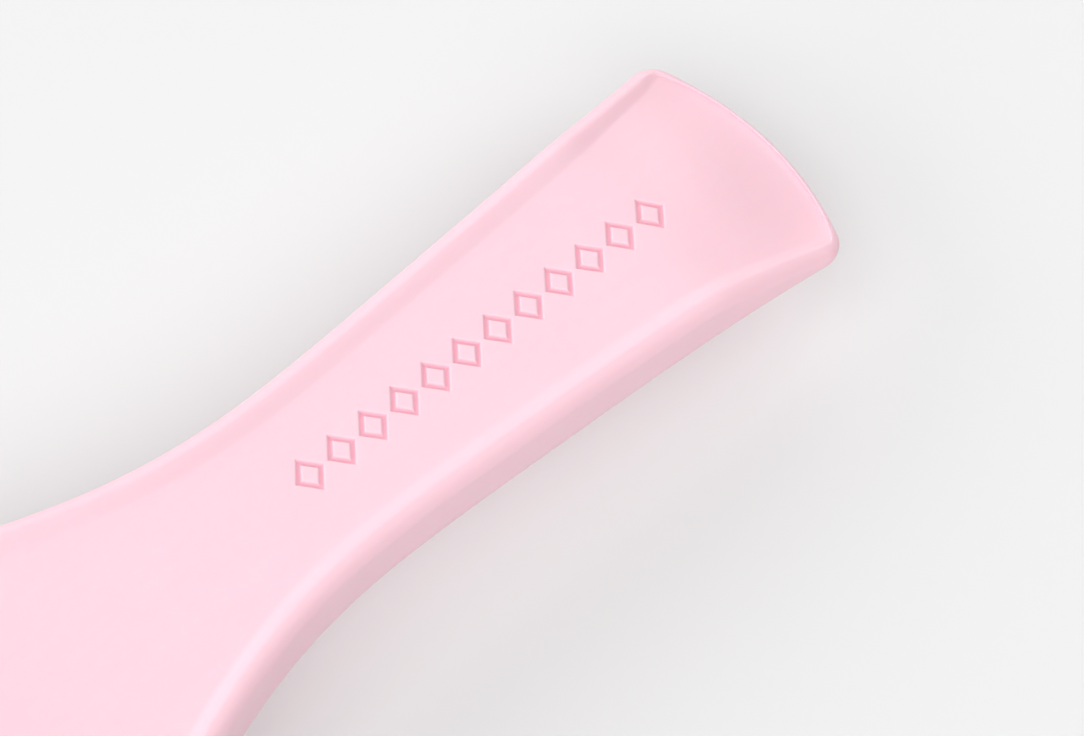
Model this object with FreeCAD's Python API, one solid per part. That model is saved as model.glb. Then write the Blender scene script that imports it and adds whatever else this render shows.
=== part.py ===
import FreeCAD, Part
import math
import os

from FreeCAD import Placement, Rotation, Vector

# A detangling hairbrush with a handle: a thin-walled back moulding, a front moulding that snaps into
# it, and staggered rows of tapered teeth on the head. X runs along the brush towards the handle's end,
# Y across it, Z up. The back of the brush faces up and the tips of the long teeth stand at z = 0. The
# origin is under the middle of the brush's length.

# Driving dimensions, in millimetres.
LENGTH = 225.0
HALF_LENGTH = LENGTH / 2
LONG_TOOTH = 15.0
SHORT_TOOTH = 11.0
ROOT_GAP = 0.12
ROOT_RADIUS = 1.0
TIP_RADIUS = 0.45
ROW_PITCH = 4.0
TOOTH_PITCH = 4.6
ROW_COUNT = 15
FIELD_BORDER = 4.6
FIELD_END_X = 3.0
FIELD_END_RADIUS = 22.0

FACE_Z = LONG_TOOTH + ROOT_GAP
FACE_RECESS = 0.3
RIM_Z = FACE_Z - FACE_RECESS
LID_THICKNESS = 1.5
SHOULDER_Z = FACE_Z + LID_THICKNESS

WALL = 2.4
LIP = 1.4
LID_GAP = 0.1
ROOF = 1.8
DRAFT = 0.085
LOFT_HEIGHT = 24.0
END_ARC_RADIUS = 46.0
END_CORNER_RADIUS = 4.0
LEAST_CORNER = 1.0
END_MARGIN = 6.0
LID_END_X = 94.0
SHOULDER_WIDTH = 1.0
OVERLAP = 0.5

CREST_WIDTH = 2.7
SLOPE_WIDTH = 2.6
DISH_DEPTH = 0.75
CROWN_HEIGHT = 4.5
CROWN_HALF_WIDTH = 36.0
CROWN_LOSS_AT_TIP = 0.8
HEAD_BLEND_X = -12.0
HEAD_BLEND_LENGTH = 50.0
TIP_BLEND_X = -66.0
TIP_BLEND_LENGTH = 60.0
WIDEST_X = -58.0
SIDE_END_X = 107.0
RIDGE_RADIUS = 1.1

# Half of the brush's width at its rim, from the head's tip to the handle's end.
HALF_WIDTHS = (
    (-112.5, 0.0), (-110.4, 10.1), (-104.5, 19.2), (-94.0, 27.2), (-80.0, 32.7), (-64.0, 35.1),
    (-49.0, 34.9), (-34.0, 32.7), (-21.0, 29.1), (-9.5, 24.9), (0.5, 21.1), (9.5, 18.05),
    (19.5, 15.7), (29.5, 14.55), (39.5, 14.4), (50.5, 14.8), (62.5, 15.45), (74.5, 16.15),
    (86.5, 17.0), (97.5, 18.1), (108.3, 19.5),
)

# Height of the ridge above the rim, along the brush.
RIDGE_HEIGHTS = (
    (-118.0, 3.4), (-112.5, 4.8), (-105.0, 6.6), (-93.0, 7.9), (-75.0, 8.4), (-55.0, 8.2), (-30.0, 7.5),
    (-8.0, 7.15), (12.0, 7.5), (35.0, 7.77), (55.0, 7.62), (70.0, 7.33), (80.0, 7.05), (86.0, 6.8),
    (90.0, 6.3), (94.0, 5.3), (98.0, 4.3), (103.0, 3.1), (108.0, 2.05), (112.5, 1.3), (118.0, 0.4),
)

# Where the back's surface is worked out: along the brush, in from its edge, and over its middle.
COARSE_STATIONS = [-118.0 + 6.0 * i for i in range(33)]
FINE_STATIONS = [78.0 + 4.0 * i for i in range(11)]
EDGE_DISTANCES = (-3.0, -0.5, 1.6, 2.6, 3.3, 4.0, 4.7, 5.4, 6.8)
MIDDLE_PARTS = (0.7, 0.35, 0.0)

HANDLE_HOOKS_X = (18.0, 44.0, 70.0)
HEAD_HOOKS_X = (-92.0, -62.0, -32.0)
HANDLE_PEGS = ((31.0, 0.0), (57.0, 0.0), (84.0, 0.0))
HEAD_PEGS = ((-84.0, 15.0), (-84.0, -15.0), (-20.0, 11.0), (-20.0, -11.0))
HANDLE_RIBS_X = (5.0, 24.0, 38.0, 50.0, 64.0, 77.0)
HEAD_RIBS_X = (-98.0, -70.0, -46.0, -8.0)
RIB_THICKNESS = 1.1
RIB_CLEARANCE = 0.4
SOCKET_OUTER = 2.6
SOCKET_BORE = 1.6

HOOK_LENGTH = 4.0
HOOK_HEIGHT = 2.4
HOOK_INSET = 2.3
HOOK_THICKNESS = 1.1
HOOK_ROOT = 0.2
HOOK_PLAY = 0.1
BARB_INSET = 1.55
BARB_THICKNESS = 0.8
LEDGE_LENGTH = 6.0
LEDGE_HEIGHT = 0.7
LEDGE_INSET = 0.7
LEDGE_THICKNESS = 1.6
LEDGE_LIFT = 0.8
PEG_RADIUS = 1.45
PEG_HEIGHT = 2.2

PANEL_START_X = 16.0
PANEL_END_X = 90.0
PANEL_INSET = 3.4
PANEL_DEPTH = 3.0
PANEL_WALL = 1.6
PANEL_CORNER = 5.0
PANEL_EDGE = 1.2

MOTIF_CENTRE_X = 62.0
MOTIF_COUNT = 12
MOTIF_PITCH = 5.3
MOTIF_LENGTH = 4.4
MOTIF_WIDTH = 5.3
MOTIF_STROKE = 0.7
MOTIF_DEPTH = 0.35
RIDGE_CLEARANCE = 4.0


def curve_through(pairs, tangents=None):
    """A smooth curve in the XY plane through pairs of numbers."""
    curve = Part.BSplineCurve()
    points = [Vector(a, b, 0) for a, b in pairs]
    if tangents:
        curve.interpolate(Points=points, InitialTangent=tangents[0], FinalTangent=tangents[1])
    else:
        curve.interpolate(Points=points)
    return curve


def parameter_at(curve, x):
    """The curve's parameter where it passes x, for a curve that runs towards +X."""
    low, high = curve.FirstParameter, curve.LastParameter
    for _ in range(40):
        middle = (low + high) / 2
        if curve.value(middle).x < x:
            low = middle
        else:
            high = middle
    return (low + high) / 2


def value_at(curve, x):
    return curve.value(parameter_at(curve, x)).y


SIDE = curve_through(HALF_WIDTHS, (Vector(0, 1, 0), Vector(1, 0.135, 0)))
RIDGE = curve_through(RIDGE_HEIGHTS)


def side_at(parameter, inset):
    """A point on the +Y side of the outline, moved inwards, and the outline's direction there."""
    along = SIDE.tangent(parameter)[0]
    return SIDE.value(parameter) + Vector(along.y, -along.x, 0) * inset, along


def side_point(x, inset):
    return side_at(parameter_at(SIDE, x), inset)


def corner_round(inset, centre, radius):
    """Where a corner round leaves the side, its middle, where it meets the end arc, and the direction."""
    low, high = parameter_at(SIDE, HALF_LENGTH / 2), SIDE.LastParameter
    for _ in range(50):
        middle = (low + high) / 2
        if (side_at(middle, inset + radius)[0] - centre).Length < END_ARC_RADIUS - radius:
            low = middle
        else:
            high = middle
    leave, along = side_at(low, inset)
    pivot, _ = side_at(low, inset + radius)
    meet = pivot + (pivot - centre).normalize() * radius
    halfway = pivot + ((leave - pivot) + (meet - pivot)).normalize() * radius
    return leave, halfway, meet, along


def flipped(point):
    return Vector(point.x, -point.y, point.z)


def outline(inset, z, end_x=HALF_LENGTH, corner=END_CORNER_RADIUS):
    """The brush's outline moved inwards at height z; an arc with round corners closes it at end_x."""
    centre = Vector(end_x - END_ARC_RADIUS, 0, 0)
    radius = max(corner - inset, LEAST_CORNER)
    leave, halfway, meet, along = corner_round(inset, centre, radius)
    side = [side_point(x, inset)[0] for x, _ in HALF_WIDTHS[:-1]]
    side = [point for point in side if point.x < leave.x - END_MARGIN] + [leave]
    loop = list(reversed(side)) + [flipped(point) for point in side[1:]]
    spline = Part.BSplineCurve()
    spline.interpolate(Points=loop, InitialTangent=along * -1, FinalTangent=flipped(along))
    edges = [
        spline.toShape(),
        Part.Arc(flipped(leave), flipped(halfway), flipped(meet)).toShape(),
        Part.Arc(flipped(meet), Vector(end_x, 0, 0), meet).toShape(),
        Part.Arc(meet, halfway, leave).toShape(),
    ]
    wire = Part.Wire(edges)
    wire.translate(Vector(0, 0, z))
    return wire


def prism(inset, low, high, end_x=HALF_LENGTH, draft=0.0, corner=END_CORNER_RADIUS):
    """A solid between two outlines; the upper one is smaller by the draft."""
    top_inset = inset + draft * (high - low)
    wires = [outline(inset, low, end_x, corner), outline(top_inset, high, end_x, corner)]
    return Part.makeLoft(wires, True, True)


def smooth_step(value):
    value = min(1.0, max(0.0, value))
    return value * value * (3 - 2 * value)


def ridge_profile(distance):
    """Height of the back's surface under the ridge, by distance from the outline."""
    return -DISH_DEPTH * smooth_step((distance - CREST_WIDTH) / SLOPE_WIDTH)


def back_height(x, distance, y):
    """Height of the back's surface; the ridges run out over the head, which is crowned."""
    head = smooth_step((HEAD_BLEND_X - x) / HEAD_BLEND_LENGTH)
    tip = smooth_step((TIP_BLEND_X - x) / TIP_BLEND_LENGTH)
    dish = ridge_profile(distance) * (1 - head)
    arch = max(0.0, 1 - (y / CROWN_HALF_WIDTH) ** 2)
    crown = CROWN_HEIGHT * head * (1 - CROWN_LOSS_AT_TIP * tip) * arch
    return RIM_Z + value_at(RIDGE, x) + dish + crown


def back_surface(drop):
    """The back's surface, lowered by drop, as one face that reaches past the outline."""
    rows = []
    for x in COARSE_STATIONS + FINE_STATIONS:
        width = value_at(SIDE, min(max(x, WIDEST_X), SIDE_END_X))
        ys = [width - d for d in EDGE_DISTANCES]
        ys += [(width - EDGE_DISTANCES[-1]) * part for part in MIDDLE_PARTS]
        half = [(y, width - y) for y in ys]
        full = [(y, d) for y, d in half] + [(-y, d) for y, d in reversed(half[:-1])]
        rows.append([Vector(x, y, back_height(x, d, y) - drop) for y, d in full])
    surface = Part.BSplineSurface()
    surface.interpolate(rows)
    return surface.toShape()


def above_back(drop):
    return back_surface(drop).extrude(Vector(0, 0, HALF_LENGTH))


def edges_near(shape, test):
    return [edge for edge in shape.Edges if test(edge)]


def outer_body():
    body = prism(0.0, RIM_Z, RIM_Z + LOFT_HEIGHT, draft=DRAFT)
    return body.cut(above_back(0.0))


def box_at(point, along, size, z):
    """A box centred on a point of the outline, its X side along the outline."""
    length, width, height = size
    box = Part.makeBox(length, width, height, Vector(-length / 2, -width / 2, 0))
    angle = math.degrees(math.atan2(along.y, along.x))
    box.Placement = Placement(Vector(point.x, point.y, z), Rotation(Vector(0, 0, 1), angle))
    return box


def both_sides(solid):
    return [solid, solid.mirror(Vector(0, 0, 0), Vector(0, 1, 0))]


def snap_ledges():
    """Ledges inside the back moulding's wall, which the front moulding's hooks catch on."""
    size = (LEDGE_LENGTH, LEDGE_THICKNESS, LEDGE_HEIGHT)
    ledges = []
    for x in HANDLE_HOOKS_X + HEAD_HOOKS_X:
        point, along = side_point(x, WALL + LEDGE_INSET)
        ledges += both_sides(box_at(point, along, size, SHOULDER_Z + LEDGE_LIFT))
    return ledges


def snap_hooks():
    """Hooks on the front moulding, each a stem with a barb that sits over a ledge."""
    barb_lift = LEDGE_LIFT + LEDGE_HEIGHT + HOOK_PLAY
    stem_size = (HOOK_LENGTH, HOOK_THICKNESS, HOOK_HEIGHT + HOOK_ROOT)
    barb_size = (HOOK_LENGTH, BARB_THICKNESS, HOOK_HEIGHT - barb_lift)
    hooks = []
    for x in HANDLE_HOOKS_X + HEAD_HOOKS_X:
        stem, along = side_point(x, WALL + HOOK_INSET)
        barb, _ = side_point(x, WALL + BARB_INSET)
        hooks += both_sides(box_at(stem, along, stem_size, SHOULDER_Z - HOOK_ROOT))
        hooks += both_sides(box_at(barb, along, barb_size, SHOULDER_Z + barb_lift))
    return hooks


def shell_ribs():
    """Cross ribs that hang from the roof of the back moulding."""
    corner_y = -HALF_LENGTH / 2
    low = SHOULDER_Z + RIB_CLEARANCE
    return [
        Part.makeBox(RIB_THICKNESS, HALF_LENGTH, LOFT_HEIGHT, Vector(x - RIB_THICKNESS / 2, corner_y, low))
        for x in HANDLE_RIBS_X + HEAD_RIBS_X
    ]


def peg_sockets():
    sockets = []
    for x, y in HANDLE_PEGS + HEAD_PEGS:
        base = Vector(x, y, SHOULDER_Z + RIB_CLEARANCE)
        tube = Part.makeCylinder(SOCKET_OUTER, LOFT_HEIGHT, base)
        sockets.append(tube.cut(Part.makeCylinder(SOCKET_BORE, LOFT_HEIGHT, base)))
    return sockets


def motif_element(x):
    """A plain diamond ring, cut a little way into the back."""
    half_x = (MOTIF_LENGTH - MOTIF_STROKE) / 2
    half_y = (MOTIF_WIDTH - MOTIF_STROKE) / 2
    side = math.hypot(half_x, half_y)
    diamonds = []
    for offset in (MOTIF_STROKE / 2, -MOTIF_STROKE / 2):
        reach_x = Vector(half_x + offset * side / half_y, 0, 0)
        reach_y = Vector(0, half_y + offset * side / half_x, 0)
        outer = Part.makePolygon([reach_x, reach_y, reach_x * -1, reach_y * -1, reach_x])
        diamonds.append(Part.Face(outer).extrude(Vector(0, 0, RIDGE_CLEARANCE)))
    ring = diamonds[0].cut(diamonds[1])
    centre_distance = value_at(SIDE, x)
    ring.translate(Vector(x, 0, back_height(x, centre_distance, 0) - MOTIF_DEPTH))
    return ring


def hollow():
    """The room inside the back moulding, around its ribs, peg sockets and snap ledges."""
    end_x = LID_END_X + LID_GAP
    room = prism(WALL, SHOULDER_Z - OVERLAP, RIM_Z + LOFT_HEIGHT, end_x - SHOULDER_WIDTH, DRAFT)
    room = room.cut(above_back(ROOF))
    for piece in shell_ribs() + peg_sockets() + snap_ledges():
        room = room.cut(piece)
    return room


def back_shell():
    body = outer_body()
    top_edges = edges_near(body, lambda e: e.BoundBox.ZMin > RIM_Z + OVERLAP)
    body = body.makeFillet(RIDGE_RADIUS, top_edges)
    shell = body.cut(hollow()).cut(prism(LIP, RIM_Z - OVERLAP, SHOULDER_Z, LID_END_X + LID_GAP))
    first = MOTIF_CENTRE_X - MOTIF_PITCH * (MOTIF_COUNT - 1) / 2
    for index in range(MOTIF_COUNT):
        shell = shell.cut(motif_element(first + MOTIF_PITCH * index))
    return shell


def panel_block(inset, low, high, start_x, end_x, corner):
    """A block under the handle with the handle's own outline, and round corners at both ends."""
    whole = prism(inset, low, high, end_x, corner=inset + corner)
    keep = Part.makeBox(LENGTH, LENGTH, high - low, Vector(start_x, -HALF_LENGTH, low))
    block = whole.common(keep)
    start_edges = edges_near(block, lambda e: e.BoundBox.XMax < start_x + 0.1 and e.BoundBox.YLength < 0.1)
    return block.makeFillet(corner, start_edges)


def handle_panel():
    """The raised flat front of the handle, and the hollow behind it."""
    floor = RIM_Z - PANEL_DEPTH
    outside = panel_block(PANEL_INSET, floor, FACE_Z + HOOK_ROOT, PANEL_START_X, PANEL_END_X, PANEL_CORNER)
    outside = outside.makeFillet(PANEL_EDGE, edges_near(outside, lambda e: e.BoundBox.ZMax < floor + 0.01))
    inside = panel_block(
        PANEL_INSET + PANEL_WALL, floor + PANEL_WALL, SHOULDER_Z + 1.0,
        PANEL_START_X + PANEL_WALL, PANEL_END_X - PANEL_WALL, PANEL_CORNER - PANEL_WALL)
    return outside, inside


def front_lid():
    plate = prism(LIP + LID_GAP, FACE_Z, SHOULDER_Z, LID_END_X)
    outside, inside = handle_panel()
    pegs = []
    for x, y in HANDLE_PEGS + HEAD_PEGS:
        low = RIM_Z - PANEL_DEPTH + OVERLAP if x > PANEL_START_X else FACE_Z + OVERLAP
        pegs.append(Part.makeCylinder(PEG_RADIUS, SHOULDER_Z + PEG_HEIGHT - low, Vector(x, y, low)))
    return plate.fuse(outside).cut(inside).fuse(pegs + snap_hooks())


def tooth(length):
    """A tapered tooth with round ends, its root's centre at the origin, pointing down."""
    tip_z = -(length - ROOT_RADIUS - TIP_RADIUS)
    lean = math.asin((ROOT_RADIUS - TIP_RADIUS) / -tip_z)
    root_edge = Vector(ROOT_RADIUS * math.cos(lean), 0, -ROOT_RADIUS * math.sin(lean))
    tip_edge = Vector(TIP_RADIUS * math.cos(lean), 0, tip_z - TIP_RADIUS * math.sin(lean))
    root_mid = Vector(ROOT_RADIUS * math.cos(math.pi / 4), 0, ROOT_RADIUS * math.sin(math.pi / 4))
    tip_mid = Vector(TIP_RADIUS * math.cos(math.pi / 4), 0, tip_z - TIP_RADIUS * math.sin(math.pi / 4))
    top = Vector(0, 0, ROOT_RADIUS)
    bottom = Vector(0, 0, tip_z - TIP_RADIUS)
    edges = [
        Part.Arc(top, root_mid, root_edge).toShape(),
        Part.LineSegment(root_edge, tip_edge).toShape(),
        Part.Arc(tip_edge, tip_mid, bottom).toShape(),
        Part.LineSegment(bottom, top).toShape(),
    ]
    return Part.Face(Part.Wire(edges)).revolve(Vector(0, 0, 0), Vector(0, 0, 1), 360)


def tooth_places(row):
    """X of every tooth in a row, kept inside the head's outline and the curved end of the field."""
    y = (row - (ROW_COUNT + 1) / 2) * ROW_PITCH
    start = TOOTH_PITCH / 2 if row % 2 else 0.0
    places = []
    for index in range(40):
        x = FIELD_END_X - start - index * TOOTH_PITCH
        past_end = x > FIELD_END_X - y * y / (2 * FIELD_END_RADIUS)
        if x < -HALF_LENGTH + FIELD_BORDER or past_end:
            continue
        if outline_distance(x, abs(y)) > FIELD_BORDER:
            places.append((x, y, index))
    return places


def outline_distance(x, y):
    """Shortest distance from a point inside to the outline's +Y side."""
    probe = Vector(x, y, 0)
    distance = SIDE.toShape().distToShape(Part.Vertex(probe))[0]
    return distance if y < value_at(SIDE, x) else -distance


def tooth_row(row):
    root_z = FACE_Z - ROOT_GAP - ROOT_RADIUS
    models = (tooth(LONG_TOOTH), tooth(SHORT_TOOTH))
    teeth = []
    for x, y, index in tooth_places(row):
        piece = models[index % 2].copy()
        piece.translate(Vector(x, y, root_z))
        teeth.append(piece)
    return Part.makeCompound(teeth)


def main():
    os.makedirs("parts", exist_ok=True)
    nodes = {"back_shell": back_shell(), "front_lid": front_lid()}
    for row in range(1, ROW_COUNT + 1):
        nodes["tooth_row_%02d" % row] = tooth_row(row)
    for name, shape in nodes.items():
        box = shape.BoundBox
        print(name, shape.isValid(), len(shape.Solids), round(shape.Volume, 1), [
            round(v, 2) for v in (box.XMin, box.XMax, box.YMin, box.YMax, box.ZMin, box.ZMax)])
        shape.exportStep("parts/%s.step" % name)


main()
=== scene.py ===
"""The looks of a moulded detangling hairbrush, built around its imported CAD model.

The brush lies on its teeth with its back up. Everything is in metres, in the CAD model's own frame:
X runs towards the handle's end, Y across the brush, Z up.
"""
import math

import bpy
import numpy as np
from mathutils import Matrix, Vector


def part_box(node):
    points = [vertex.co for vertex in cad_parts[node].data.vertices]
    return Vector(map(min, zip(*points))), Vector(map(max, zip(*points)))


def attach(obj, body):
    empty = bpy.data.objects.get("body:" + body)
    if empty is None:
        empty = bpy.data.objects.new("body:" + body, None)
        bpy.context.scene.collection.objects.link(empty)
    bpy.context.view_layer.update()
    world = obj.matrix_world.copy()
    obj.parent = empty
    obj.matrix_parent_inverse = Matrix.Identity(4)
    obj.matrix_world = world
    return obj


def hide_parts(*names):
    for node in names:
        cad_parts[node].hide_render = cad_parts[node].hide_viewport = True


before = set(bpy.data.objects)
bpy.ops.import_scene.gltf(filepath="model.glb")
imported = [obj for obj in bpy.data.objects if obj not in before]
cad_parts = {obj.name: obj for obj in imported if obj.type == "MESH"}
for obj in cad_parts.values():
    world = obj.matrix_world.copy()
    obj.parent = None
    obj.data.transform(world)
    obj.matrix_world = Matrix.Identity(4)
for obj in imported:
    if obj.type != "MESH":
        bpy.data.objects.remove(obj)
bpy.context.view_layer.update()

MM = 0.001

# The back moulding, in millimetres. These are the CAD model's own driving dimensions, but the handle's
# end is a little lower and its ridges are rounder. Each pair is a place along X and the size there.
HALF_WIDTHS = (
    (-112.5, 0.0), (-110.4, 10.1), (-104.5, 19.2), (-94.0, 27.2), (-80.0, 32.7), (-64.0, 35.1),
    (-49.0, 34.9), (-34.0, 32.7), (-21.0, 29.1), (-9.5, 24.9), (0.5, 21.1), (9.5, 18.05),
    (19.5, 15.7), (29.5, 14.55), (39.5, 14.4), (50.5, 14.8), (62.5, 15.45), (74.5, 16.15),
    (86.5, 17.0), (97.5, 18.1), (108.3, 19.5),
)
RIDGE_HEIGHTS = (
    (-118.0, 3.4), (-112.5, 4.8), (-105.0, 6.6), (-93.0, 7.9), (-75.0, 8.4), (-55.0, 8.2), (-30.0, 7.5),
    (-8.0, 7.15), (12.0, 7.5), (35.0, 7.77), (55.0, 7.62), (70.0, 7.33), (80.0, 7.05), (86.0, 6.8),
    (90.0, 6.3), (94.0, 5.3), (98.0, 4.3), (103.0, 2.95), (108.0, 1.75), (112.5, 1.05), (118.0, 0.3),
)
HEAD_SPLIT_X = -92.0
SIDE_END_X = 107.0

# The handle's end: an arc with a round corner on each side.
END_X = 112.5
END_ARC_RADIUS = 46.0
END_CORNER_RADIUS = 4.0
LEAST_CORNER = 1.0

# The outside wall leans in by DRAFT and ends in the ridge's outer round.
DRAFT = 0.085
RIDGE_ROUND = 2.0
ROUND_SHARE = 0.8
RIM_ROUND = 0.3

# The dish between the handle's ridges. It gets shallower and steeper-sided towards the handle's end.
SLOPE_WIDTH = 2.6
DISH_DEPTH = 0.75
RUN_OUT_X = 86.0
RUN_OUT_LENGTH = 22.0
SLOPE_RUN_OUT = 0.45
DISH_RUN_OUT = 0.3

# The head's crown, which takes over from the dish at the neck and drops towards the head's tip.
CROWN_HEIGHT = 4.48
CROWN_HALF_WIDTH = 36.0
CROWN_LOSS_AT_TIP = 0.8
HEAD_BLEND_X = -12.0
HEAD_BLEND_LENGTH = 50.0
TIP_BLEND_X = -66.0
TIP_BLEND_LENGTH = 60.0

# The middle of the handle's end: a full slope that rolls over, between two small raised corners.
END_ROLL_DEPTH = 0.5
END_ROLL_WIDTH = 10.0
END_LOBE_Y = 12.0
END_LOBE_WIDTH = 6.0
END_BULGE_HEIGHT = 0.9
END_BULGE_X = 86.0
END_BULGE_LENGTH = 14.0
END_BULGE_HALF_WIDTH = 16.5
END_BULGE_FADE = 12.0

# The inside: a step that takes the front moulding, and the room behind it.
LIP = 1.4
WALL = 2.4
ROOF = 1.8
LID_GAP = 0.1
LID_END_X = 94.0
SHOULDER_WIDTH = 1.0
RIM_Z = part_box("back_shell")[0].z / MM
SHOULDER_Z = RIM_Z + 1.8

# The row of plain diamond rings pressed into the handle's back.
MOTIF_CENTRE_X = 62.0
MOTIF_COUNT = 12
MOTIF_PITCH = 5.3
MOTIF_LENGTH = 4.4
MOTIF_WIDTH = 5.3
MOTIF_STROKE = 0.7
MOTIF_DEPTH = 0.35
MOTIF_SPREAD = 0.1
MOTIF_EDGE = 0.3

# How finely the mesh follows the shape: steps along X, shares of the way across, turns of the rounds.
ALONG_END_X = 110.0
ALONG_STEP = 0.5
MOTIF_STEP = 0.1
END_STEP = 0.3
END_STEP_FROM_X, END_STEP_TO_X = 84, 112
ACROSS_STEP = 0.02
ACROSS_FINE_BANDS = ((0.0, 0.22, 0.0065), (0.66, 1.0, 0.012))
CORNER_POINTS = 120
END_ARC_POINTS = 400
RIDGE_ROUND_TURNS = (78, 64, 50, 36, 22, 8)
WALL_SHARES = (0.97, 0.8, 0.6, 0.4, 0.2)
RIM_ROUND_TURNS = (0, 22, 45, 68, 90)
SHARP_ANGLE = 40


def spline_through(pairs, start, end, count=6000):
    """Points along a smooth curve through pairs, with the given end directions."""
    knots = np.array(pairs, float)
    steps = np.linalg.norm(np.diff(knots, axis=0), axis=1)
    at = np.concatenate([[0.0], np.cumsum(steps)])
    size = len(knots)
    matrix = np.zeros((size, size))
    right = np.zeros((size, 2))
    matrix[0, 0] = matrix[-1, -1] = 1.0
    right[0] = np.array(start) / np.linalg.norm(start)
    right[-1] = np.array(end) / np.linalg.norm(end)
    for i in range(1, size - 1):
        before, after = steps[i - 1], steps[i]
        matrix[i, i - 1], matrix[i, i], matrix[i, i + 1] = after, 2 * (before + after), before
        slope_before = (knots[i] - knots[i - 1]) / before
        slope_after = (knots[i + 1] - knots[i]) / after
        right[i] = 3 * (after * slope_before + before * slope_after)
    slopes = np.linalg.solve(matrix, right)
    where = np.linspace(0, at[-1], count)
    i = np.clip(np.searchsorted(at, where) - 1, 0, size - 2)
    step = steps[i][:, None]
    f = ((where - at[i]) / steps[i])[:, None]
    return (
        knots[i] * (1 + 2 * f) * (1 - f) ** 2 + slopes[i] * step * f * (1 - f) ** 2
        + knots[i + 1] * (3 - 2 * f) * f ** 2 - slopes[i + 1] * step * (1 - f) * f ** 2
    )


SIDE = spline_through(HALF_WIDTHS, (0, 1), (1, 0.135))
RIDGE = spline_through(RIDGE_HEIGHTS, (1, 0.25), (1, -0.17))


def half_width(x):
    return np.interp(x, SIDE[:, 0], SIDE[:, 1])


def ridge_height(x):
    return np.interp(x, RIDGE[:, 0], RIDGE[:, 1])


def smooth_step(value):
    value = np.clip(value, 0.0, 1.0)
    return value * value * (3 - 2 * value)


def inward_normals(points):
    """Unit normals to the right of a line of points in the XY plane."""
    along = np.gradient(points, axis=0)
    along /= np.linalg.norm(along, axis=1)[:, None]
    return np.stack([along[:, 1], -along[:, 0]], axis=1)


def half_outline(inset, end_x, corner):
    """The +Y half of an outline moved inwards, from the head's tip to the middle of the handle's end.

    Returns its points, their inward normals and the X of the middle of its corner.
    """
    radius = max(corner - inset, LEAST_CORNER)
    normals = inward_normals(SIDE)
    side = SIDE + normals * inset
    pivots = side + normals * radius
    centre = np.array([end_x - END_ARC_RADIUS, 0.0])
    reach = np.linalg.norm(pivots - centre, axis=1)
    last = np.nonzero((reach < END_ARC_RADIUS - radius) & (SIDE[:, 0] > 0))[0][-1]
    pivot = pivots[last]
    first_angle = math.atan2(-normals[last, 1], -normals[last, 0])
    last_angle = math.atan2(pivot[1] - centre[1], pivot[0] - centre[0])
    turn = np.linspace(first_angle, last_angle, CORNER_POINTS)[1:]
    round_normals = -np.stack([np.cos(turn), np.sin(turn)], axis=1)
    sweep = np.linspace(last_angle, 0.0, END_ARC_POINTS)[1:]
    arc_normals = -np.stack([np.cos(sweep), np.sin(sweep)], axis=1)
    corner = pivot - radius * round_normals
    arc = centre - (reach[last] + radius) * arc_normals
    corner_x = pivot[0] + radius * math.cos(math.radians(45))
    points = np.concatenate([side[:last + 1], corner, arc])
    return points, np.concatenate([normals[:last + 1], round_normals, arc_normals]), corner_x


def distances_along(points):
    return np.concatenate([[0.0], np.cumsum(np.linalg.norm(np.diff(points, axis=0), axis=1))])


def outline_runs(inset=0.0, end_x=END_X, corner=END_CORNER_RADIUS):
    """An outline's +Y side, its end and its head, each as evenly matched points and inward normals."""
    half, normals, corner_x = half_outline(inset, end_x, corner)
    at = distances_along(half)
    split = at[np.argmax(half[:, 0] > HEAD_SPLIT_X)]
    turn = at[np.argmax(half[:, 0] > corner_x)]

    def run(first, last, shares):
        where = first + (last - first) * shares
        points = np.stack([np.interp(where, at, half[:, i]) for i in (0, 1)], axis=1)
        inward = np.stack([np.interp(where, at, normals[:, i]) for i in (0, 1)], axis=1)
        return points, inward / np.linalg.norm(inward, axis=1)[:, None]

    side = run(split, turn, ALONG)
    end = [np.concatenate([part[::-1], mirrored(part[1:])]) for part in run(at[-1], turn, ACROSS)]
    head = [np.concatenate([part[::-1], mirrored(part[1:])]) for part in run(0.0, split, ACROSS)]
    return side, end, head


def mirrored(points):
    return points * np.array([1.0, -1.0])


def closed(side, end, head):
    """One loop from a side, an end and a head: along +Y, round the end, back along -Y, round the tip."""
    return np.concatenate([side[:-1], end[:-1], mirrored(side)[:0:-1], head[:0:-1]])


def shares(low, high, coarse, bands):
    """Shares of the way from low to high, a coarse step apart, or finer in (low, high, step) bands."""
    values = [low]
    while values[-1] < high:
        inside = [step for band_low, band_high, step in bands if band_low <= values[-1] <= band_high]
        values.append(values[-1] + min(inside + [coarse]))
    values = np.array(values)
    return (values - low) / (values[-1] - low)


MOTIF_HALF_SPAN = MOTIF_PITCH * MOTIF_COUNT / 2 + 2
ALONG = shares(HEAD_SPLIT_X, ALONG_END_X, ALONG_STEP, (
    (MOTIF_CENTRE_X - MOTIF_HALF_SPAN, MOTIF_CENTRE_X + MOTIF_HALF_SPAN, MOTIF_STEP),
    (END_STEP_FROM_X, END_STEP_TO_X, END_STEP),
))
ACROSS = shares(0.0, 1.0, ACROSS_STEP, ACROSS_FINE_BANDS)


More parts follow.
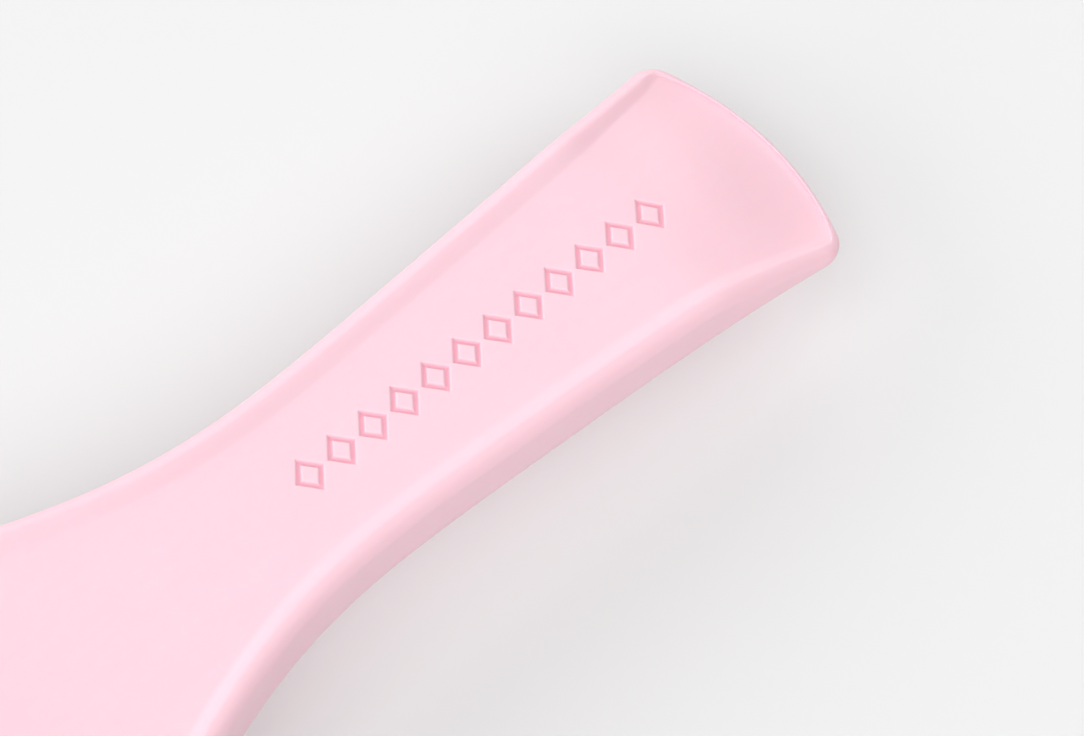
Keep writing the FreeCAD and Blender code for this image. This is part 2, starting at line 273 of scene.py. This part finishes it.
def motif_mask(x, y):
    """1 inside the grooves of a row of plain diamond rings, 0 outside, with soft edges."""
    first = MOTIF_CENTRE_X - MOTIF_PITCH * (MOTIF_COUNT - 1) / 2
    index = np.clip(np.round((x - first) / MOTIF_PITCH), 0, MOTIF_COUNT - 1)
    local = x - first - index * MOTIF_PITCH
    half_x, half_y = (MOTIF_LENGTH - MOTIF_STROKE) / 2, (MOTIF_WIDTH - MOTIF_STROKE) / 2
    scale = 1 / math.hypot(1 / half_x, 1 / half_y)
    distance = np.abs(np.abs(local) / half_x + np.abs(y) / half_y - 1) * scale
    return smooth_step((MOTIF_STROKE / 2 + MOTIF_SPREAD - distance) / MOTIF_EDGE)


def end_distance(x, y):
    """Distance to the handle's end."""
    past_centre = np.maximum(x - END_X + END_ARC_RADIUS, 0)
    return END_ARC_RADIUS - np.hypot(past_centre, y)


def end_roll(x, y):
    """How far the back rolls down towards the middle of the handle's end."""
    middle = 1 - smooth_step((np.abs(y) - END_LOBE_Y) / END_LOBE_WIDTH)
    return END_ROLL_DEPTH * np.clip(1 - end_distance(x, y) / END_ROLL_WIDTH, 0, 1) ** 2 * middle


def end_bulge(x, y):
    """How much fuller the slope down to the handle's end is in its middle."""
    rise = smooth_step((x - END_BULGE_X) / END_BULGE_LENGTH)
    fall = smooth_step(end_distance(x, y) / END_BULGE_FADE)
    return END_BULGE_HEIGHT * (rise * fall) * (1 - smooth_step(np.abs(y) / END_BULGE_HALF_WIDTH))


def ridge_top(x, y):
    return ridge_height(x) - end_roll(x, y)


def round_and_inset(height):
    """Radius of the outer round of a ridge this high, and how far inside the outline it ends."""
    radius = np.minimum(RIDGE_ROUND, ROUND_SHARE * height)
    return radius, DRAFT * (height - radius) + radius


def back_height(x, y):
    """Height of the back's surface above the rim, inside the ridge's outer round."""
    head = smooth_step((HEAD_BLEND_X - x) / HEAD_BLEND_LENGTH)
    tip = smooth_step((TIP_BLEND_X - x) / TIP_BLEND_LENGTH)
    run_out = smooth_step((x - RUN_OUT_X) / RUN_OUT_LENGTH)
    _, crest = round_and_inset(ridge_height(x))
    distance = half_width(np.minimum(x, SIDE_END_X)) - np.abs(y) - crest
    slope = SLOPE_WIDTH * (1 - SLOPE_RUN_OUT * run_out)
    dish = -DISH_DEPTH * (1 - DISH_RUN_OUT * run_out) * smooth_step(distance / slope) * (1 - head)
    arch = np.maximum(0, 1 - (y / CROWN_HALF_WIDTH) ** 2)
    crown = CROWN_HEIGHT * head * (1 - CROWN_LOSS_AT_TIP * tip) * arch
    return ridge_top(x, y) + dish + end_bulge(x, y) + crown


def mesh_object(name, points, faces):
    """A smooth-shaded mesh in metres from points in millimetres, sharp where its faces meet steeply."""
    mesh = bpy.data.meshes.new(name)
    mesh.from_pydata((points * MM).tolist(), [], faces)
    mesh.shade_smooth()
    mesh.set_sharp_from_angle(angle=math.radians(SHARP_ANGLE))
    piece = bpy.data.objects.new(name, mesh)
    bpy.context.scene.collection.objects.link(piece)
    return piece


def grid_faces(rows, columns):
    """Quads between neighbouring points of a grid stored row by row."""
    row, column = np.meshgrid(np.arange(rows - 1), np.arange(columns - 1), indexing="ij")
    first = (row * columns + column).ravel()
    return np.stack([first, first + 1, first + 1 + columns, first + columns], axis=1).tolist()


def ring_faces(before, after):
    """Quads between two closed loops of point numbers."""
    return np.stack([before, np.roll(before, -1), np.roll(after, -1), after], axis=1).tolist()


def edge_round(points):
    return round_and_inset(ridge_top(points[:, 0], points[:, 1]))


def roof_grid(side, end, head):
    """A grid of points across the outline's inside, from the end of the ridge's outer round inwards."""
    def moved(run):
        points, normals = run
        return points + normals * edge_round(points)[1][:, None]

    top, right, left = moved(side), moved(end), moved(head)
    bottom = mirrored(top)
    s = ALONG[:, None, None]
    t = np.concatenate([0.5 - ACROSS[::-1] / 2, 0.5 + ACROSS[1:] / 2])[None, :, None]
    return (
        (1 - t) * top[:, None] + t * bottom[:, None] + (1 - s) * left[None] + s * right[None]
        - (1 - s) * (1 - t) * top[0] - (1 - s) * t * bottom[0]
        - s * (1 - t) * top[-1] - s * t * bottom[-1]
    )


def wall_rings(outline, normals):
    """Loops down the outside: the ridge's outer round, the drafted wall and the rim's round."""
    height = ridge_top(outline[:, 0], outline[:, 1])
    radius, _ = edge_round(outline)
    levels = []
    for turn in np.radians(RIDGE_ROUND_TURNS):
        inset = DRAFT * (height - radius) + radius * (1 - math.cos(turn))
        levels.append((inset, height - radius + radius * math.sin(turn)))
    wall_top = height - radius
    for share in WALL_SHARES:
        level = RIM_ROUND + (wall_top - RIM_ROUND) * share
        levels.append((DRAFT * level, level))
    for turn in np.radians(RIM_ROUND_TURNS):
        inset = DRAFT * RIM_ROUND + RIM_ROUND * (1 - math.cos(turn))
        levels.append((inset + 0 * height, RIM_ROUND * (1 - math.sin(turn)) + 0 * height))
    return [np.column_stack([outline + normals * i[:, None], RIM_Z + level]) for i, level in levels]


def inside_rings():
    """Loops up the inside: the step that takes the front moulding, and the inside of the wall."""
    step = [run[0] for run in outline_runs(LIP, LID_END_X + LID_GAP)]
    room = [run[0] for run in outline_runs(WALL, LID_END_X + LID_GAP - SHOULDER_WIDTH)]
    step, room = closed(*step), closed(*room)
    roof = RIM_Z + ridge_height(room[:, 0]) - ROOF
    heights = [(step, RIM_Z), (step, SHOULDER_Z), (room, SHOULDER_Z), (room, roof)]
    return [np.column_stack([loop, np.broadcast_to(z, len(loop))]) for loop, z in heights]


def back_piece():
    """The back moulding's mesh: the dished and crowned back, its walls, and a plain inside."""
    side, end, head = outline_runs()
    grid = roof_grid(side, end, head)
    rows, columns = grid.shape[:2]
    flat = grid.reshape(-1, 2)
    groove = motif_mask(flat[:, 0], flat[:, 1])
    height = back_height(flat[:, 0], flat[:, 1]) - MOTIF_DEPTH * groove
    points = [np.column_stack([flat, RIM_Z + height])]
    number = np.arange(rows * columns).reshape(rows, columns)
    faces = grid_faces(rows, columns)
    previous = np.concatenate([number[:-1, 0], number[-1, :-1], number[:0:-1, -1], number[0, :0:-1]])
    start, count = rows * columns, len(previous)
    outline = closed(side[0], end[0], head[0])
    for ring in wall_rings(outline, closed(side[1], end[1], head[1])) + inside_rings():
        points.append(ring)
        current = np.arange(start, start + count)
        faces += ring_faces(previous, current)
        previous, start = current, start + count
    near, far = previous[:rows], previous[rows + columns - 2:2 * rows + columns - 2][::-1]
    faces += np.stack([near[:-1], near[1:], far[1:], far[:-1]], axis=1).tolist()
    faces.append(previous[rows - 1:rows + columns - 1].tolist())
    faces.append(np.append(previous[2 * rows + columns - 3:], previous[0]).tolist())
    return np.concatenate(points), faces, groove


points, faces, groove = back_piece()
back = mesh_object("back_moulding", points, faces)
# The grooves' mask goes to the material, which paints shade into the grooves with it.
attribute = back.data.attributes.new("groove", "FLOAT", "POINT")
attribute.data.foreach_set("value", np.concatenate([groove, np.zeros(len(points) - len(groove))]))
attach(back, "body")
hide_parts("back_shell")


class Shader:
    """A procedural material under construction, with short ways to add and join its nodes."""

    def __init__(self, name):
        self.material = bpy.data.materials.new(name)
        self.material.use_nodes = True
        self.tree = self.material.node_tree
        self.surface = self.tree.nodes["Principled BSDF"]
        self.place = self.add("ShaderNodeTexCoord").outputs["Object"]

    def add(self, kind, **settings):
        node = self.tree.nodes.new(kind)
        for name, value in settings.items():
            setattr(node, name, value)
        return node

    def feed(self, socket, value):
        if isinstance(value, bpy.types.NodeSocket):
            self.tree.links.new(value, socket)
        else:
            socket.default_value = value

    def noise(self, size, detail=2.0, stretch=(1, 1, 1)):
        """Soft noise with features about size millimetres across."""
        mapping = self.add("ShaderNodeMapping")
        self.feed(mapping.inputs["Vector"], self.place)
        self.feed(mapping.inputs["Scale"], tuple(1 / (size * MM * s) for s in stretch))
        node = self.add("ShaderNodeTexNoise")
        self.feed(node.inputs["Vector"], mapping.outputs["Vector"])
        self.feed(node.inputs["Scale"], 1.0)
        self.feed(node.inputs["Detail"], detail)
        return node.outputs["Fac"]

    def spread(self, value, low, high, from_low=0.3, from_high=0.7):
        """value moved from one range to another and held inside it."""
        node = self.add("ShaderNodeMapRange")
        for name, v in (("Value", value), ("From Min", from_low), ("From Max", from_high),
                        ("To Min", low), ("To Max", high)):
            self.feed(node.inputs[name], v)
        return node.outputs["Result"]

    def sum_or_product(self, operation, a, b):
        node = self.add("ShaderNodeMath", operation=operation)
        self.feed(node.inputs[0], a)
        self.feed(node.inputs[1], b)
        return node.outputs["Value"]

    def product(self, a, b):
        return self.sum_or_product("MULTIPLY", a, b)

    def total(self, a, b):
        return self.sum_or_product("ADD", a, b)

    def mix(self, share, first, second, blend="MIX"):
        node = self.add("ShaderNodeMix", data_type="RGBA", blend_type=blend)
        self.feed(node.inputs[0], share)
        self.feed(node.inputs[6], first)
        self.feed(node.inputs[7], second)
        return node.outputs[2]

    def bump(self, height, depth, strength, below=None):
        """A bump of depth millimetres, on top of the bump below it."""
        node = self.add("ShaderNodeBump")
        self.feed(node.inputs["Height"], height)
        self.feed(node.inputs["Distance"], depth * MM)
        self.feed(node.inputs["Strength"], strength)
        if below:
            self.feed(node.inputs["Normal"], below)
        return node.outputs["Normal"]

    def dots(self, spacing, size, share):
        """Round specks of size millimetres, in some cells of a spacing."""
        cells = self.add("ShaderNodeTexVoronoi")
        self.feed(cells.inputs["Vector"], self.place)
        self.feed(cells.inputs["Scale"], 1 / (spacing * MM))
        near = self.spread(cells.outputs["Distance"], 1.0, 0.0, 0.5 * size / spacing, size / spacing)
        split = self.add("ShaderNodeSeparateColor")
        self.feed(split.inputs["Color"], cells.outputs["Color"])
        return self.product(near, self.spread(split.outputs["Red"], 0.0, 1.0, 1 - share, 1.02 - share))


# One pink plastic all over. Light goes a little way into it, furthest in red.
PINK = (0.95, 0.635, 0.715)
DEEP_PINK = (0.93, 0.40, 0.50)
SPECK_COLOUR = (0.30, 0.16, 0.17, 1)
SPECK_STRENGTH = 0.55
# How far the grooves are painted towards the deep pink: painted shade for the darkening inside them.
GROOVE_PAINTED_SHADE = 0.8
PLASTIC_IOR = 1.46
SUBSURFACE = 0.35
SUBSURFACE_DEPTH = 1.6
SUBSURFACE_REACH = (1.0, 0.4, 0.45)


def satin_plastic(name, colour, deep, roughness, texture):
    """Moulded satin plastic: faint clouding, a fine mould texture, hairline scratches and specks, with
    painted shade in the grooves.
    """
    shader = Shader(name)
    cloud = shader.spread(shader.noise(26.0, 2.0), 0.975, 1.0, 0.15, 0.85)
    flow = shader.spread(shader.noise(1.6, 2.0, (12, 1, 1)), 0.985, 1.0, 0.15, 0.85)
    drift = shader.spread(shader.noise(60.0, 1.0), 0.0, 0.06, 0.1, 0.9)
    tint = shader.mix(drift, (*colour, 1), (*deep, 1))
    base = shader.mix(1.0, tint, shader.product(cloud, flow), "MULTIPLY")
    # Painted shade: the grooves are mixed towards the deep pink, standing in for the darkening inside
    # them.
    groove = shader.add("ShaderNodeAttribute", attribute_name="groove").outputs["Fac"]
    base = shader.mix(shader.product(groove, GROOVE_PAINTED_SHADE), base, (*deep, 1))
    specks = shader.product(shader.dots(17.0, 0.16, 0.35), SPECK_STRENGTH)
    base = shader.mix(specks, base, SPECK_COLOUR)
    shader.feed(shader.surface.inputs["Base Color"], base)

    # Hairline scratches along the handle, in patches. They are a little rougher than the rest.
    hairs = shader.spread(shader.noise(0.22, 0.0, (70, 1, 1)), 0.0, 1.0, 0.72, 0.78)
    hairs = shader.product(hairs, shader.spread(shader.noise(12.0), 0.0, 1.0, 0.52, 0.62))
    rough = shader.spread(shader.noise(9.0, 4.0), roughness - 0.05, roughness + 0.05, 0.2, 0.8)
    shader.feed(shader.surface.inputs["Roughness"], shader.total(rough, shader.product(hairs, 0.12)))

    # A slow waviness of the moulding, then two sizes of mould texture, then the scratches.
    normal = shader.bump(shader.noise(6.0, 1.0), 0.02, 0.3)
    normal = shader.bump(shader.noise(0.45, 2.0), 0.006, texture, normal)
    normal = shader.bump(shader.noise(0.16, 2.0), 0.003, texture, normal)
    normal = shader.bump(hairs, 0.002, 0.3, normal)
    shader.feed(shader.surface.inputs["Normal"], normal)
    shader.feed(shader.surface.inputs["IOR"], PLASTIC_IOR)
    shader.feed(shader.surface.inputs["Subsurface Weight"], SUBSURFACE)
    shader.feed(shader.surface.inputs["Subsurface Radius"], SUBSURFACE_REACH)
    shader.feed(shader.surface.inputs["Subsurface Scale"], SUBSURFACE_DEPTH * MM)
    return shader.material


# The CAD model's own meshes stay for the front moulding and the teeth.
back.data.materials.append(satin_plastic("back_satin_pink", PINK, DEEP_PINK, 0.42, 0.5))
lid_plastic = satin_plastic("front_satin_pink", PINK, DEEP_PINK, 0.5, 0.8)
tooth_plastic = satin_plastic("tooth_pink", PINK, DEEP_PINK, 0.36, 0.3)
for name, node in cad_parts.items():
    node.data.materials.clear()
    node.data.materials.append(tooth_plastic if name.startswith("tooth_row") else lid_plastic)


# The camera: a long lens, looking down at the handle. FRAME_WIDTH is how much it takes in at TARGET.
CAMERA_ELEVATION = 61.9
CAMERA_TURN = 41.77
CAMERA_DISTANCE = 683.6
FRAME_WIDTH = 138.974
SENSOR_WIDTH = 36.0
CLIP_END = 10.0
TARGET = Vector((65.3, -7.8, RIM_Z + 6.0))


def camera():
    """Makes the camera. Returns the level directions to its right and away from it."""
    elevation, turn = math.radians(CAMERA_ELEVATION), math.radians(CAMERA_TURN)
    across = Vector((math.cos(turn), -math.sin(turn), 0))
    ground_up = Vector((math.sin(turn), math.cos(turn), 0))
    up = ground_up * math.sin(elevation) + Vector((0, 0, math.cos(elevation)))
    towards = -ground_up * math.cos(elevation) + Vector((0, 0, math.sin(elevation)))
    data = bpy.data.cameras.new("camera")
    data.sensor_width = SENSOR_WIDTH
    data.lens = SENSOR_WIDTH * CAMERA_DISTANCE / FRAME_WIDTH
    data.clip_end = CLIP_END
    made = bpy.data.objects.new("camera", data)
    rotation = Matrix((across, up, towards)).transposed().to_4x4()
    made.matrix_world = Matrix.Translation((TARGET + towards * CAMERA_DISTANCE) * MM) @ rotation
    bpy.context.scene.collection.objects.link(made)
    bpy.context.scene.camera = made
    return across, ground_up


across, ground_up = camera()


# The floor glows a little, like a light table. FLOOR_HALF_WIDTH is in metres.
FLOOR_HALF_WIDTH = 3.0
FLOOR_SHADE = 0.62
FLOOR_GLOW = 0.175


def studio_floor():
    """A pale floor far wider than the picture, with a faint grain and a light table's glow."""
    mesh = bpy.data.meshes.new("floor")
    reach = FLOOR_HALF_WIDTH
    corners = [(-reach, -reach, 0), (reach, -reach, 0), (reach, reach, 0), (-reach, reach, 0)]
    mesh.from_pydata(corners, [], [(0, 1, 2, 3)])
    floor = bpy.data.objects.new("floor", mesh)
    bpy.context.scene.collection.objects.link(floor)
    shader = Shader("pale_paper")
    shade = shader.spread(shader.noise(300.0, 1.0), FLOOR_SHADE * 0.995, FLOOR_SHADE)
    shader.feed(shader.surface.inputs["Base Color"], shade)
    shader.feed(shader.surface.inputs["Roughness"], 0.95)
    shader.feed(shader.surface.inputs["Specular IOR Level"], 0.0)
    shader.feed(shader.surface.inputs["Normal"], shader.bump(shader.noise(0.6, 3.0), 0.01, 0.1))
    shader.feed(shader.surface.inputs["Emission Color"], (1, 1, 1, 1))
    shader.feed(shader.surface.inputs["Emission Strength"], FLOOR_GLOW)
    mesh.materials.append(shader.material)


# Soft light from all round. Each light has its turn and elevation in degrees, and its strength.
SOFT_LIGHT_ANGLE = 40
SOFT_LIGHTS = (
    (90, 22, 0.27), (135, 22, 0.23), (180, 22, 0.29), (225, 22, 0.26), (315, 22, 0.05), (0, 45, 0.25),
    (90, 45, 0.10), (225, 45, 0.06), (270, 45, 0.34), (225, 68, 0.22), (315, 68, 0.04),
)


def soft_light(turn, elevation, strength):
    """A large soft light at a turn about the brush: 0 is the camera's right, 90 its far side."""
    turn, elevation = math.radians(turn), math.radians(elevation)
    level = across * math.cos(turn) + ground_up * math.sin(turn)
    source = level * math.cos(elevation) + Vector((0, 0, math.sin(elevation)))
    data = bpy.data.lights.new("soft_light", "SUN")
    data.energy = math.pi * strength
    data.angle = math.radians(SOFT_LIGHT_ANGLE)
    light = bpy.data.objects.new("soft_light", data)
    light.matrix_world = source.to_track_quat("Z", "Y").to_matrix().to_4x4()
    bpy.context.scene.collection.objects.link(light)


studio_floor()
for turn, elevation, strength in SOFT_LIGHTS:
    soft_light(turn, elevation, strength)

bpy.context.scene.view_settings.view_transform = "Standard"
